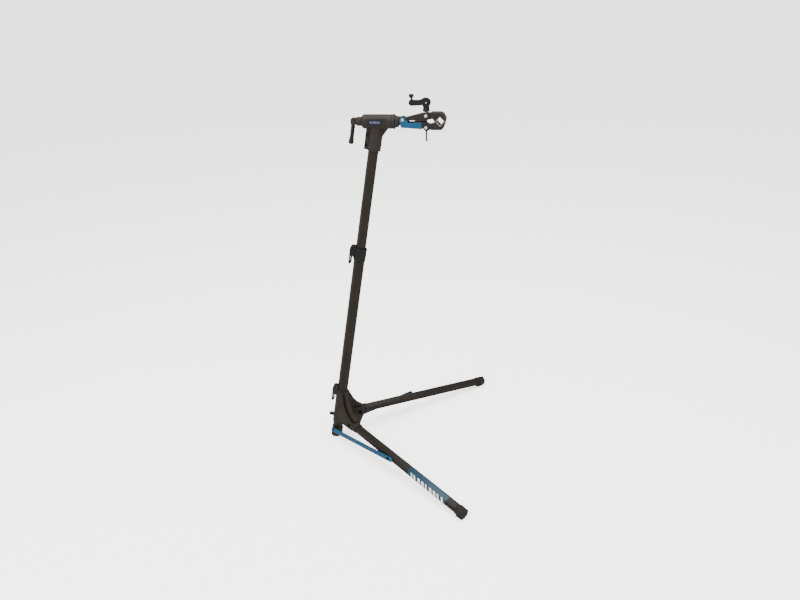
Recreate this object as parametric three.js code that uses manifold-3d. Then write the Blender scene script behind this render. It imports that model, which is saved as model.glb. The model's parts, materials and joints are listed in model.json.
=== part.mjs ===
// Folding bicycle repair stand: a leaning telescopic mast on a rubber foot, a sliding collar
// with two folding legs and their struts, and a rotating quick-cam jaw at the top.
//
// Frame: the origin is the centre of the mast's foot on the floor, +Z is up, +X is the way
// the mast leans, and the two legs spread to -Y (front) and +Y (back). Millimetres.

import * as THREE from 'three';
import { mergeVertices } from 'three/addons/utils/BufferGeometryUtils.js';
import Module from 'manifold-3d';

const wasm = await Module();
wasm.setup();

// ---------------------------------------------------------------- driving dimensions
const GAP = 0.3;                    // running gap between two separate pieces
const MAST_LEAN = 9.6;              // degrees from the vertical, towards +X
const HEAD_AT = 1471;               // jaw axis, measured along the mast

const LOWER = { flats: 41, wall: 1.6, corner: 3, bottom: 8, top: 900 };
const UPPER = { flats: 37.2, wall: 1.6, corner: 2.6, bottom: 765, top: 1436 };
const LEG = { flats: 36.5, wall: 1.8, corner: 3, start: 136, end: 832 };

const LEG_AZIMUTH = 41;             // degrees between each leg and the lean direction
const LEG_RISE = 1.47;              // degrees of the leg axis above the mast's normal
const LEG_AXIS_HEIGHT = 111;        // where the leg axes meet the mast axis
const LEG_PIVOT = 100;              // leg hinge, measured along the leg axis

const SLEEVE = { flats: 47.5, bore: 41.8, corner: 4, bottom: 70, top: 243 };
const CHEEK = { inner: 15.5, outer: 20.5, outsideRadius: 31, insideRadius: 22, bottom: 92 };
const RIB_HALF = 8.5;
const GROOVE = { inset: 5, width: 4, depth: 1.8 };

const STRUT = {
  width: 22, inner: 25.4, outer: 29.4, baseRadial: 3, baseHeight: 33, reach: 391, overhang: 17,
};
const BOLT = { shank: 3.9, hole: 4.2, head: 6.5, headHeight: 3.4 };

const COLLAR = { flats: 46.4, bore: 41.6, upperBore: 37.9, corner: 4, bottom: 881, top: 937 };

// Jaw points, measured from the centre of the head: x along the barrel, z up.
const PIVOT = { x: 102.6, z: 8.3 };
const UPPER_TRUNNION = { x: 194.5, z: 24 };
const LOWER_TRUNNION = { x: 194.5, z: -21 };
const CAM_PIN = { x: 194.5, z: 73 };
const MOUTH = { x: 250, z: 4, halfDiagonal: 16, pad: 3 };
const JAW_HALF = 24;
const ARM_HALF = 16;

// ---------------------------------------------------------------- materials
const LOOKS = {
  blackTube: { color: 0x1b1a19, roughness: 0.38, metalness: 0.75 },
  blackCast: { color: 0x1f1e1d, roughness: 0.5, metalness: 0.6 },
  blackPlastic: { color: 0x151515, roughness: 0.55, metalness: 0 },
  rubber: { color: 0x1a1a1b, roughness: 0.85, metalness: 0 },
  blue: { color: 0x1688c4, roughness: 0.35, metalness: 0.55 },
  silver: { color: 0xd0d2d4, roughness: 0.25, metalness: 1 },
  steel: { color: 0x8d8f92, roughness: 0.35, metalness: 1 },
  blackSteel: { color: 0x242322, roughness: 0.45, metalness: 0.8 },
  padGrey: { color: 0xb9b9b6, roughness: 0.7, metalness: 0 },
  brass: { color: 0xb08d4a, roughness: 0.4, metalness: 1 },
  label: { color: 0x2a63a0, roughness: 0.4, metalness: 0 },
};

// ---------------------------------------------------------------- solids
function toSolid(geometry) {
  const bare = geometry.clone();
  for (const name of Object.keys(bare.attributes)) {
    if (name !== 'position') bare.deleteAttribute(name);
  }
  const merged = mergeVertices(bare, 1e-4);
  const corners = merged.index.array;
  const triangles = [];
  for (let i = 0; i < corners.length; i += 3) {
    const [a, b, c] = [corners[i], corners[i + 1], corners[i + 2]];
    if (a !== b && b !== c && c !== a) triangles.push(a, b, c);
  }
  return new wasm.Manifold(new wasm.Mesh({
    numProp: 3,
    vertProperties: Float32Array.from(merged.attributes.position.array),
    triVerts: Uint32Array.from(triangles),
  }));
}

function toGeometry(solid) {
  const mesh = solid.getMesh();
  const geometry = new THREE.BufferGeometry();
  geometry.setAttribute('position', new THREE.BufferAttribute(mesh.vertProperties, 3));
  geometry.setIndex(new THREE.BufferAttribute(mesh.triVerts, 1));
  geometry.computeVertexNormals();
  return geometry;
}

const join = (...solids) => solids.reduce((sum, next) => sum.add(next));
const cut = (solid, ...tools) => tools.reduce((rest, tool) => rest.subtract(tool), solid);

function box(x0, x1, y0, y1, z0, z1) {
  const geometry = new THREE.BoxGeometry(x1 - x0, y1 - y0, z1 - z0);
  return toSolid(geometry.translate((x0 + x1) / 2, (y0 + y1) / 2, (z0 + z1) / 2));
}

// A cylinder along one axis; `at` gives its other two coordinates in x, y, z order.
function cylinder(axis, radius, from, to, at = [0, 0], sides = 24) {
  const geometry = new THREE.CylinderGeometry(radius, radius, to - from, sides);
  const middle = (from + to) / 2;
  if (axis === 'x') return toSolid(geometry.rotateZ(Math.PI / 2).translate(middle, at[0], at[1]));
  if (axis === 'y') return toSolid(geometry.translate(at[0], middle, at[1]));
  return toSolid(geometry.rotateX(Math.PI / 2).translate(at[0], at[1], middle));
}

// A turned solid about the z axis from [radius, height] pairs that start and end on the axis.
function turned(profile, sides = 24) {
  const points = profile.map(([radius, height]) => new THREE.Vector2(radius, height));
  return toSolid(new THREE.LatheGeometry(points, sides).rotateX(Math.PI / 2));
}

// An outline in x and z, extruded across y.
function across(outline, y0, y1) {
  const shape = Array.isArray(outline) ? new THREE.Shape(outline.map(toVector)) : outline;
  const settings = { depth: y1 - y0, bevelEnabled: false, curveSegments: 8 };
  return toSolid(new THREE.ExtrudeGeometry(shape, settings).rotateX(Math.PI / 2).translate(0, y1, 0));
}

const toVector = ([x, y]) => new THREE.Vector2(x, y);

// A rounded hexagon with two corners on the x axis, stretched along x if asked.
function hexagon(flats, corner, stretch = 1) {
  const arcCentre = (flats / 2 - corner) / Math.cos(Math.PI / 6);
  const steps = 3;
  const points = [];
  for (let side = 0; side < 6; side += 1) {
    for (let step = 0; step <= steps; step += 1) {
      const middle = (side * Math.PI) / 3;
      const angle = middle + (step / steps - 0.5) * (Math.PI / 3);
      const x = arcCentre * Math.cos(middle) + corner * Math.cos(angle);
      const y = arcCentre * Math.sin(middle) + corner * Math.sin(angle);
      points.push(new THREE.Vector2(x * stretch, y));
    }
  }
  return new THREE.Shape(points);
}

// A hexagonal bar along z.
function hexBar(flats, corner, from, to, stretch = 1) {
  const settings = { depth: to - from, bevelEnabled: false };
  return toSolid(new THREE.ExtrudeGeometry(hexagon(flats, corner, stretch), settings)
    .translate(0, 0, from));
}

// A hexagonal bar along x with its corners up and down.
function legBar(flats, corner, from, to) {
  const settings = { depth: to - from, bevelEnabled: false };
  return toSolid(new THREE.ExtrudeGeometry(hexagon(flats, corner), settings)
    .translate(0, 0, from).rotateY(Math.PI / 2));
}

// A bar outline with round ends between two points in x and z.
function linkOutline(start, end, halfWidth) {
  const angle = Math.atan2(end[1] - start[1], end[0] - start[0]);
  const shape = new THREE.Shape();
  shape.absarc(end[0], end[1], halfWidth, angle - Math.PI / 2, angle + Math.PI / 2, false);
  shape.absarc(start[0], start[1], halfWidth, angle + Math.PI / 2, angle + 1.5 * Math.PI, false);
  return shape;
}

// ---------------------------------------------------------------- frames
const stand = new THREE.Group();

function frame(parent, place) {
  const group = new THREE.Group();
  place(group);
  parent.add(group);
  return group;
}

const radians = THREE.MathUtils.degToRad;
const mast = frame(stand, (group) => { group.rotation.y = radians(MAST_LEAN); });
const headX = HEAD_AT * Math.sin(radians(MAST_LEAN));
const headZ = HEAD_AT * Math.cos(radians(MAST_LEAN));
const head = frame(stand, (group) => { group.position.set(headX, 0, headZ); });

// Each side has a plane through the mast axis (x outwards, z along the mast) and, in it,
// the leg's own frame (x along the leg).
const SIDES = [{ name: 'front', sign: -1 }, { name: 'back', sign: 1 }].map((side) => {
  const plane = frame(mast, (group) => { group.rotation.z = side.sign * radians(LEG_AZIMUTH); });
  const leg = frame(plane, (group) => {
    group.position.z = LEG_AXIS_HEIGHT;
    group.rotation.y = -radians(LEG_RISE);
  });
  return { ...side, plane, leg };
});

function piece(name, solid, look, parent) {
  const mesh = new THREE.Mesh(toGeometry(solid), new THREE.MeshStandardMaterial(LOOKS[look]));
  mesh.name = name;
  parent.add(mesh);
}

// Everything above the floor, seen from a turned frame.
function aboveFloor(group) {
  group.updateWorldMatrix(true, false);
  const geometry = new THREE.BoxGeometry(4000, 4000, 2000).translate(0, 0, 1000);
  return toSolid(geometry.applyMatrix4(group.matrixWorld.clone().invert()));
}

// A tool that belongs to one side's plane, moved into the mast frame.
const inMast = (solid, side) => solid.rotate([0, 0, side.sign * LEG_AZIMUTH]);

// A span across y on the outer face of one side, given as distances from the leg's plane.
const outward = (side, near, far) => (side.sign > 0 ? [near, far] : [-far, -near]);

// A bolt along y: shank, round head on the outer end.
function boltAcross(x, z, side, inner, underHead) {
  const [y0, y1] = outward(side, inner, underHead + 0.2);
  const [h0, h1] = outward(side, underHead + GAP, underHead + GAP + BOLT.headHeight);
  const [s0, s1] = outward(side, underHead, underHead + GAP + 0.2);
  return join(
    cylinder('y', BOLT.shank, y0, y1, [x, z], 16),
    cylinder('y', BOLT.shank, s0, s1, [x, z], 16),
    cylinder('y', BOLT.head, h0, h1, [x, z], 20),
  );
}

// ---------------------------------------------------------------- mast and its foot
const BASE_BOLT_INNER = 12;

function lowerTube() {
  const outer = hexBar(LOWER.flats, LOWER.corner, LOWER.bottom, LOWER.top);
  const boreCorner = LOWER.corner - 1;
  const bore = hexBar(LOWER.flats - 2 * LOWER.wall, boreCorner, LOWER.bottom - 1, LOWER.top + 1);
  const holes = SIDES.map((side) => {
    const [y0, y1] = outward(side, 5, 40);
    return inMast(cylinder('y', BOLT.hole, y0, y1, [STRUT.baseRadial, STRUT.baseHeight], 16), side);
  });
  return cut(outer, bore, ...holes);
}

function mastFoot() {
  const outer = hexBar(46, 5, -8, 20);
  const pocket = hexBar(LOWER.flats + 2 * GAP, LOWER.corner, LOWER.bottom - GAP, 30);
  return cut(outer, pocket).intersect(aboveFloor(mast));
}

function baseBracket() {
  const ring = hexBar(45.6, 6, 20.5, 46);
  const bosses = SIDES.map((side) => {
    const [y0, y1] = outward(side, 8, STRUT.inner - GAP);
    return inMast(cylinder('y', 10, y0, y1, [STRUT.baseRadial, STRUT.baseHeight]), side);
  });
  const bore = hexBar(LOWER.flats + 2 * GAP, LOWER.corner, 15, 50);
  const holes = SIDES.map((side) => {
    const [y0, y1] = outward(side, 5, 40);
    return inMast(cylinder('y', BOLT.hole, y0, y1, [STRUT.baseRadial, STRUT.baseHeight], 16), side);
  });
  return cut(join(ring, ...bosses), bore, ...holes);
}

// ---------------------------------------------------------------- cam lever clamps
const CAM = { x: -33, radius: 9.5, half: 7.2, earInner: 7.6, earOuter: 12.5, earRadius: 11.5 };

// Two ears on the -x side of a collar, round the cam pin at height `pin`.
function camEars(pin, bottom, root) {
  const outline = new THREE.Shape();
  outline.moveTo(root, bottom);
  outline.lineTo(root, pin + CAM.earRadius);
  outline.lineTo(CAM.x, pin + CAM.earRadius);
  outline.absarc(CAM.x, pin, CAM.earRadius, Math.PI / 2, Math.PI, false);
  outline.lineTo(CAM.x - CAM.earRadius, bottom + 14);
  outline.lineTo(root - 4, bottom);
  const hole = cylinder('y', 3.3, -20, 20, [CAM.x, pin], 16);
  return [
    cut(across(outline, CAM.earInner, CAM.earOuter), hole),
    cut(across(outline, -CAM.earOuter, -CAM.earInner), hole),
  ];
}

// The space between the ears that the cam turns in.
const camSlot = (pin) => box(-60, -21.2, -CAM.earInner, CAM.earInner, pin - 16, pin + 30);

// A lever's blade hangs from the cam, with a bright inlay let through it near the end.
const BLADE = { out: -12, in: 0.5, bottom: -71, round: 10 };
const INLAY = { out: -9, in: -3.5, top: -36, bottom: -56 };

function camLever(pin) {
  const end = pin + BLADE.bottom;
  const out = CAM.x + BLADE.out;
  const inside = CAM.x + BLADE.in;
  const blade = new THREE.Shape();
  blade.absarc(CAM.x, pin, CAM.radius, Math.PI * 1.75, Math.PI * 0.9, false);
  blade.quadraticCurveTo(out - 1, pin - 25, out, end + BLADE.round);
  blade.quadraticCurveTo(out, end, (out + inside) / 2, end);
  blade.quadraticCurveTo(inside, end, inside, end + BLADE.round);
  blade.lineTo(inside - 1, pin - 14);
  const window = box(
    CAM.x + INLAY.out, CAM.x + INLAY.in, -20, 20, pin + INLAY.bottom, pin + INLAY.top,
  );
  const hole = cylinder('y', 3.3, -20, 20, [CAM.x, pin], 16);
  return cut(across(blade, -CAM.half, CAM.half), window, hole);
}

const leverInlay = (pin) => box(
  CAM.x + INLAY.out + GAP, CAM.x + INLAY.in - GAP, -CAM.half - 0.2, CAM.half + 0.2,
  pin + INLAY.bottom + GAP, pin + INLAY.top - GAP,
);

const camPin = (pin) => cylinder('y', 3, -CAM.earOuter + 0.2, CAM.earOuter - 0.2, [CAM.x, pin], 16);

function camClamp(prefix, pin) {
  piece(`${prefix}_lever`, camLever(pin), 'blackPlastic', mast);
  piece(`${prefix}_lever_inlay`, leverInlay(pin), 'silver', mast);
  piece(`${prefix}_lever_pin`, camPin(pin), 'blackSteel', mast);
}

// ---------------------------------------------------------------- sliding leg collar
const COLLAR_PIN_HEIGHT = 250;
const PLUNGER_HEIGHT = 106;
const pivotInPlane = {
  x: LEG_PIVOT * Math.cos(radians(LEG_RISE)),
  z: LEG_AXIS_HEIGHT + LEG_PIVOT * Math.sin(radians(LEG_RISE)),
};

// The concave top edge of an outer cheek, moved in from the edge by `inset`.
function cheekTop(outline, inset) {
  outline.lineTo(26 - inset, SLEEVE.top - 2 - inset);
  outline.quadraticCurveTo(38 - inset, 150 - inset, 124 - inset, 131 - inset);
}

// The outer cheek of a wing runs from the top of the sleeve down to the leg's hinge.
function outerCheek() {
  const { x, z } = pivotInPlane;
  const outline = new THREE.Shape();
  outline.moveTo(14, CHEEK.bottom - 6);
  outline.lineTo(14, SLEEVE.top - 2);
  cheekTop(outline, 0);
  outline.absarc(x, z, CHEEK.outsideRadius, radians(34), radians(-30), true);
  outline.lineTo(36, CHEEK.bottom);
  return outline;
}

// The inner cheek is lower: it only carries the inner end of the hinge.
function innerCheek() {
  const { x, z } = pivotInPlane;
  const outline = new THREE.Shape();
  outline.moveTo(14, CHEEK.bottom - 6);
  outline.lineTo(14, 166);
  outline.lineTo(24, 160);
  outline.lineTo(60, 138);
  outline.absarc(x, z, CHEEK.insideRadius, radians(95), radians(-42), true);
  outline.lineTo(36, CHEEK.bottom);
  return outline;
}

// A shallow groove that follows the outer cheek's edge on its outside face.
function cheekGroove() {
  const panel = (inset, y0, y1) => {
    const outline = new THREE.Shape();
    outline.moveTo(0, SLEEVE.top - 2 - inset);
    cheekTop(outline, inset);
    outline.lineTo(124 - inset, 100);
    outline.lineTo(0, 100);
    return across(outline, y0, y1);
  };
  const floor = CHEEK.outer - GROOVE.depth;
  const outer = panel(GROOVE.inset, floor, CHEEK.outer + 5);
  return cut(outer, panel(GROOVE.inset + GROOVE.width, floor - 1, CHEEK.outer + 6));
}

// The rib between two cheeks, above the leg.
function ribOutline() {
  const outline = new THREE.Shape();
  outline.moveTo(14, 134);
  outline.lineTo(14, SLEEVE.top - 1);
  outline.lineTo(27, SLEEVE.top - 1);
  outline.quadraticCurveTo(75, 160, 118, 141);
  outline.lineTo(118, 134);
  return outline;
}

// The sloping web that ties the two inner cheeks together.
function innerWeb() {
  const web = across(
    [[15, 150], [15, 138], [45, 119], [105, 93], [105, 100], [45, 128]], -90, 90,
  );
  const middle = (CHEEK.inner + CHEEK.outer) / 2;
  const beyond = SIDES.map((side) => (
    inMast(box(-50, 250, ...(side.sign > 0 ? [-middle, 250] : [-250, middle]), 0, 300), side)
  ));
  // Room for a spanner round the hinge's inner end.
  const wells = SIDES.map((side) => {
    const [y0, y1] = outward(side, -60, 1 - middle);
    return inMast(cylinder('y', 10, y0, y1, [pivotInPlane.x, pivotInPlane.z]), side);
  });
  return cut(web, ...beyond, ...wells);
}

function legCollar() {
  const sleeve = hexBar(SLEEVE.flats, SLEEVE.corner, SLEEVE.bottom, SLEEVE.top);
  const wings = SIDES.flatMap((side) => {
    const outside = outward(side, CHEEK.inner, CHEEK.outer);
    const inside = outward(side, -CHEEK.outer, -CHEEK.inner);
    return [
      inMast(across(outerCheek(), ...outside), side),
      inMast(across(innerCheek(), ...inside), side),
      inMast(across(ribOutline(), -RIB_HALF, RIB_HALF), side),
    ];
  });
  const grooves = SIDES.map((side) => {
    const groove = cheekGroove();
    return inMast(side.sign > 0 ? groove : groove.mirror([0, 1, 0]), side);
  });
  const boss = cylinder('x', 9, -30, -18, [0, PLUNGER_HEIGHT]);
  const bore = hexBar(SLEEVE.bore, LOWER.corner, SLEEVE.bottom - 40, SLEEVE.top + 40);
  const pivotHoles = SIDES.map((side) => (
    inMast(cylinder('y', 5.3, -40, 40, [pivotInPlane.x, pivotInPlane.z]), side)
  ));
  // The two legs turn in the slots between the cheeks, so nothing may fill them.
  const legSlots = SIDES.map((side) => inMast(across([
    [31, SLEEVE.bottom - 20], [140, SLEEVE.bottom - 20], [140, 133.5], [31, 133.5],
  ], -CHEEK.inner, CHEEK.inner), side));
  const plungerHole = cylinder('x', 4, -40, -15, [0, PLUNGER_HEIGHT], 16);
  const ears = camEars(COLLAR_PIN_HEIGHT, 212, -20);
  return cut(
    join(cut(join(sleeve, innerWeb(), ...wings), ...legSlots), boss, ...ears),
    bore, ...pivotHoles, plungerHole, camSlot(COLLAR_PIN_HEIGHT), ...grooves,
  );
}

const legPivotBolt = () => join(
  cylinder('y', 5, -24.5, 24.5, [pivotInPlane.x, pivotInPlane.z], 20),
  cylinder('y', 8, -24.5, -20.5 - GAP, [pivotInPlane.x, pivotInPlane.z], 24),
  cylinder('y', 8, 20.5 + GAP, 24.5, [pivotInPlane.x, pivotInPlane.z], 6),
);

const plungerPin = () => cylinder('x', 3.5, -31, -23.6, [0, PLUNGER_HEIGHT], 16);

function plungerKnob() {
  const knob = turned([
    [0, 31.4], [7.5, 31.4], [8.5, 32.5], [8.5, 43.8], [7.3, 45.4], [0, 45.4],
  ], 20);
  return knob.rotate([0, -90, 0]).translate([0, 0, PLUNGER_HEIGHT]);
}

// ---------------------------------------------------------------- legs and struts
const TONGUE_HALF = 15;
const TONGUE_HEIGHT = 17;

function legTube() {
  const outer = legBar(LEG.flats, LEG.corner, LEG.start, LEG.end);
  const bore = legBar(LEG.flats - 2 * LEG.wall, LEG.corner - 1, LEG.start - 1, LEG.end + 1);
  return cut(outer, bore);
}

// The cast end of a leg: a pivot eye and tongue, a ring round the tube, a spigot inside it.
function legBracket() {
  const eye = new THREE.Shape();
  eye.moveTo(LEG.start - 2, -TONGUE_HEIGHT);
  eye.lineTo(LEG.start - 2, TONGUE_HEIGHT);
  eye.lineTo(LEG_PIVOT, TONGUE_HEIGHT);
  eye.absarc(LEG_PIVOT, 0, TONGUE_HEIGHT, Math.PI / 2, Math.PI * 1.5, false);
  const tongue = across(eye, -TONGUE_HALF, TONGUE_HALF);
  const flange = legBar(42, 4, LEG.start - 3, LEG.start + 9);
  const socket = legBar(LEG.flats + 2 * GAP, LEG.corner, LEG.start - GAP, LEG.start + 20);
  const spigot = legBar(LEG.flats - 2 * LEG.wall - 2 * GAP, LEG.corner - 1, LEG.start - 1, LEG.start + 50);
  const hole = cylinder('y', 5.3, -30, 30, [LEG_PIVOT, 0], 20);
  return cut(join(cut(join(tongue, flange), socket), spigot), hole);
}

function legCap(side) {
  const cap = legBar(40.4, 4, LEG.end - 36, LEG.end + 3);
  const pocket = legBar(LEG.flats + 2 * GAP, LEG.corner, LEG.end - 50, LEG.end + GAP);
  const pad = box(LEG.end - 32, LEG.end + 2, -9, 9, -40, 0);
  return cut(join(cap, pad), pocket).intersect(aboveFloor(side.leg));
}

function strutEnds() {
  const rise = radians(LEG_RISE);
  const far = [STRUT.reach * Math.cos(rise), LEG_AXIS_HEIGHT + STRUT.reach * Math.sin(rise)];
  return { base: [STRUT.baseRadial, STRUT.baseHeight], far };
}

function strut(side) {
  const { base, far } = strutEnds();
  const [y0, y1] = outward(side, STRUT.inner, STRUT.outer);
  const tip = base.map((start, axis) => start + (far[axis] - start) * (1 + STRUT.overhang / STRUT.reach));
  const bar = across(linkOutline(base, tip, STRUT.width / 2), y0, y1);
  const holes = [base, far].map((point) => cylinder('y', BOLT.hole, -40, 40, point, 16));
  return cut(bar, ...holes);
}

function strutWasher(side) {
  const { far } = strutEnds();
  const [y0, y1] = outward(side, LEG.flats / 2 + GAP, STRUT.inner - GAP);
  return cut(cylinder('y', 11, y0, y1, far, 24), cylinder('y', BOLT.hole, -40, 40, far, 16));
}

function legSet(side) {
  const { base, far } = strutEnds();
  piece(`${side.name}_leg_tube`, legTube(), 'blackTube', side.leg);
  piece(`${side.name}_leg_bracket`, legBracket(), 'blackCast', side.leg);
  piece(`${side.name}_leg_cap`, legCap(side), 'rubber', side.leg);
  piece(`${side.name}_leg_pivot_bolt`, legPivotBolt(), 'blackSteel', side.plane);
  piece(`${side.name}_strut`, strut(side), 'blue', side.plane);
  piece(`${side.name}_strut_washer`, strutWasher(side), 'blackPlastic', side.plane);
  const baseBolt = boltAcross(base[0], base[1], side, BASE_BOLT_INNER, STRUT.outer);
  piece(`${side.name}_strut_base_bolt`, baseBolt, 'blackSteel', side.plane);
  const outerBolt = boltAcross(far[0], far[1], side, LEG.flats / 2 + 2 * GAP, STRUT.outer);
  piece(`${side.name}_strut_outer_bolt`, outerBolt, 'blackSteel', side.plane);
}

// ---------------------------------------------------------------- telescopic clamp
const MAST_PIN_HEIGHT = 931;

function mastCollar() {
  const outer = hexBar(COLLAR.flats, COLLAR.corner, COLLAR.bottom, COLLAR.top);
  const lip = hexBar(COLLAR.flats + 2.4, COLLAR.corner, COLLAR.top - 12, COLLAR.top);
  const band = hexBar(COLLAR.flats + 1.6, COLLAR.corner, COLLAR.top - 34, COLLAR.top - 25);
  const lowerBore = hexBar(COLLAR.bore, LOWER.corner, COLLAR.bottom - 20, LOWER.top + GAP);
  const upperBore = hexBar(COLLAR.upperBore, UPPER.corner, COLLAR.bottom, COLLAR.top + 40);
  const ears = camEars(MAST_PIN_HEIGHT, 893, -20);
  return cut(join(outer, lip, band, ...ears), lowerBore, upperBore, camSlot(MAST_PIN_HEIGHT));
}

function upperTube() {
  const outer = hexBar(UPPER.flats, UPPER.corner, UPPER.bottom, UPPER.top);
  const boreFlats = UPPER.flats - 2 * UPPER.wall;
  return cut(outer, hexBar(boreFlats, UPPER.corner - 1, UPPER.bottom - 1, UPPER.top + 1));
}

function guidePlug() {
  const boreFlats = UPPER.flats - 2 * UPPER.wall;
  const plug = hexBar(boreFlats - 2 * GAP, 2, UPPER.bottom - 4, UPPER.bottom + 25);
  const lip = hexBar(UPPER.flats, UPPER.corner, UPPER.bottom - 8, UPPER.bottom - GAP);
  return cut(join(plug, lip), cylinder('z', 9, UPPER.bottom - 20, UPPER.bottom + 40));
}

// ---------------------------------------------------------------- head casting and its lock
const BARREL = { radius: 28, bore: 20.3, rear: -60, front: 71 };
const SOCKET = { bottom: 1356, depth: 48, stretch: 1.1 };
const SOCKET_BOLTS = [1374, 1416];  // along the mast
const PINCH = { x: -32, rear: -38.5, half: 8, split: 1.2, top: 1446 };
const SHAFT_RADIUS = 19.8;

const leaned = (solid) => solid.rotate([0, MAST_LEAN, 0]).translate([-headX, 0, -headZ]);

function headCasting() {
  const barrel = turned([
    [0, BARREL.rear], [22, BARREL.rear], [BARREL.radius, BARREL.rear + 7],
    [BARREL.radius, 60], [BARREL.radius - 1.5, 61.5], [BARREL.radius - 1.5, 63],
    [BARREL.radius + 1, 64], [BARREL.radius + 1, BARREL.front - 1],
    [BARREL.radius, BARREL.front], [0, BARREL.front],
  ], 32).rotate([0, 90, 0]);
  const socket = leaned(hexBar(SOCKET.depth, 8, SOCKET.bottom, HEAD_AT - 4, SOCKET.stretch));
  const face = box(-40, 31, -29, 29, -15.5, 15.5);
  const lug = leaned(box(PINCH.rear, -22, -PINCH.half, PINCH.half, SOCKET.bottom, PINCH.top));
  const split = leaned(box(-50, -15, -PINCH.split, PINCH.split, SOCKET.bottom - 5, PINCH.top - 8));
  const gusset = across([[0, -20], [45, -20], [44, -27], [17, -62], [-6, -62]], -9, 9);
  const tubePocket = leaned(hexBar(UPPER.flats + 2 * GAP, UPPER.corner, 1300, UPPER.top + GAP));
  const bore = cylinder('x', BARREL.bore, -90, 90, [0, 0], 32);
  const boltHoles = SOCKET_BOLTS.map((along) => (
    leaned(cylinder('y', 3, -SOCKET.depth, SOCKET.depth, [PINCH.x, along], 12))
  ));
  return cut(join(barrel, socket, face, lug, gusset), tubePocket, bore, split, ...boltHoles);
}

function plaque() {
  const shape = new THREE.Shape();
  shape.moveTo(-34, -12.5);
  shape.lineTo(23, -12.5);
  shape.quadraticCurveTo(28, 0, 23, 12.5);
  shape.lineTo(-34, 12.5);
  shape.quadraticCurveTo(-39, 0, -34, -12.5);
  return across(shape, -30.8, -29 - GAP);
}

// A pinch bolt through the lug: a head in front, a nut behind.
const socketBolt = (along) => leaned(join(
  cylinder('y', 2.6, -PINCH.half - 1, PINCH.half + 1, [PINCH.x, along], 12),
  cylinder('y', 5, -PINCH.half - 4, -PINCH.half - GAP, [PINCH.x, along], 20),
  cylinder('y', 5, PINCH.half + GAP, PINCH.half + 4, [PINCH.x, along], 6),
));

const LOCK_X = { hubFront: -60.5, hubRear: -81, rear: -105 };

function lockHub() {
  const hub = cylinder('x', 18.5, LOCK_X.hubRear, LOCK_X.hubFront, [0, 0], 8);
  return cut(hub, cylinder('x', 6.3, -90, -50, [0, 0], 20));
}

function lockStud() {
  return join(
    cylinder('x', 6, LOCK_X.hubRear - 4, -40, [0, 0], 20),
    cylinder('x', 11, -46, -40, [0, 0], 6),
  );
}

const HANDLE_TILT = 10;             // degrees that the handle hangs away from the vertical
const hung = (solid) => solid.rotate([180, 0, 0]).rotate([0, HANDLE_TILT, 0]).translate([-94, 0, 0]);

function lockHandle() {
  const block = box(LOCK_X.rear, LOCK_X.hubRear - GAP, -11, 11, -13, 14);
  const rounded = block.intersect(cylinder('y', 15.5, -20, 20, [-93, 0], 24));
  const arm = hung(turned([[0, 8], [6.2, 8], [6.2, 78], [0, 78]], 16));
  return cut(join(rounded, arm), cylinder('x', 6.3, -86, -60, [0, 0], 20));
}

function lockGrip() {
  const grip = turned([
    [0, 17], [8.6, 17], [9, 20], [8.2, 30], [8, 62], [10.6, 75], [10.8, 83], [8, 89.5], [0, 91],
  ], 20);
  return hung(cut(grip, cylinder('z', 6.5, 5, 79, [0, 0], 16)));
}

// ---------------------------------------------------------------- jaw
const SLOT_HALF = 8.5;
const SHAFT_END = 86;
const ROD_RADIUS = 3.8;
const ROD_HOLE = 4.15;
const SPLIT_GAP = 0.6;
const CAM_DISC = 18;
const KNOB_X = 137;

function clampShaft() {
  const body = turned([
    [0, BARREL.rear + 6], [SHAFT_RADIUS, BARREL.rear + 6], [SHAFT_RADIUS, BARREL.front + 0.6],
    [24, BARREL.front + 0.6], [24, BARREL.front + 6], [21.5, BARREL.front + 8],
    [21.5, SHAFT_END], [0, SHAFT_END],
  ], 32).rotate([0, 90, 0]);
  const studWell = cylinder('x', 12, -70, -34, [0, 0], 24);
  return cut(body, studWell, cylinder('x', 10.3, -80, 100, [0, 0], 24));
}

// The V of one jaw, as an outline that opens away from the middle of the mouth.
function vNotch(half, direction) {
  const { x, z } = MOUTH;
  const reach = half + 20;
  return [[x - half - 20, z - direction * 20], [x, z + direction * half],
    [x + half + 20, z - direction * 20], [x + reach, z - direction * 40],
    [x - reach, z - direction * 40]];
}

const JAW_OUTLINE_UPPER = [
  [222, 14], [228, 4.6], [272, 4.6], [272, 15], [263, 31], [252, 36.4], [214, 36.4], [214, 14],
];

function upperJaw() {
  const arm = across([
    [SHAFT_END + GAP, -12], [106, -12], [116, -2], [125, 6.5], [192, 6.5], [205, 10], [222, 14],
    [222, 35], [180, 32.5], [170, 30.5], [108, 15], [98, 18], [SHAFT_END + GAP, 18],
  ], -ARM_HALF, ARM_HALF);
  const jaw = across(JAW_OUTLINE_UPPER, -JAW_HALF, JAW_HALF);
  const spigot = cylinder('x', 10, 40, 92, [0, 0], 24);
  const notch = across(vNotch(MOUTH.halfDiagonal + MOUTH.pad * Math.SQRT2 + GAP, 1), -40, 40);
  const slot = box(180, 209, -SLOT_HALF, SLOT_HALF, -10, 60);
  const trunnionHole = cylinder('y', 5.3, -30, 30, [UPPER_TRUNNION.x, UPPER_TRUNNION.z], 20);
  const pivotHole = cylinder('y', 5.3, -30, 30, [PIVOT.x, PIVOT.z], 20);
  return cut(join(arm, jaw, spigot), notch, slot, trunnionHole, pivotHole);
}

function padLiner(direction) {
  const { x, z, halfDiagonal, pad } = MOUTH;
  const inner = halfDiagonal;
  const outer = halfDiagonal + pad * Math.SQRT2;
  const trim = SPLIT_GAP * 2;
  const outline = [
    [x - outer + trim, z + direction * trim], [x, z + direction * outer],
    [x + outer - trim, z + direction * trim], [x + inner - trim, z + direction * trim],
    [x, z + direction * inner], [x - inner + trim, z + direction * trim],
  ];
  return across(direction > 0 ? outline : outline.reverse(), -JAW_HALF + 1, JAW_HALF - 1);
}

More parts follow.
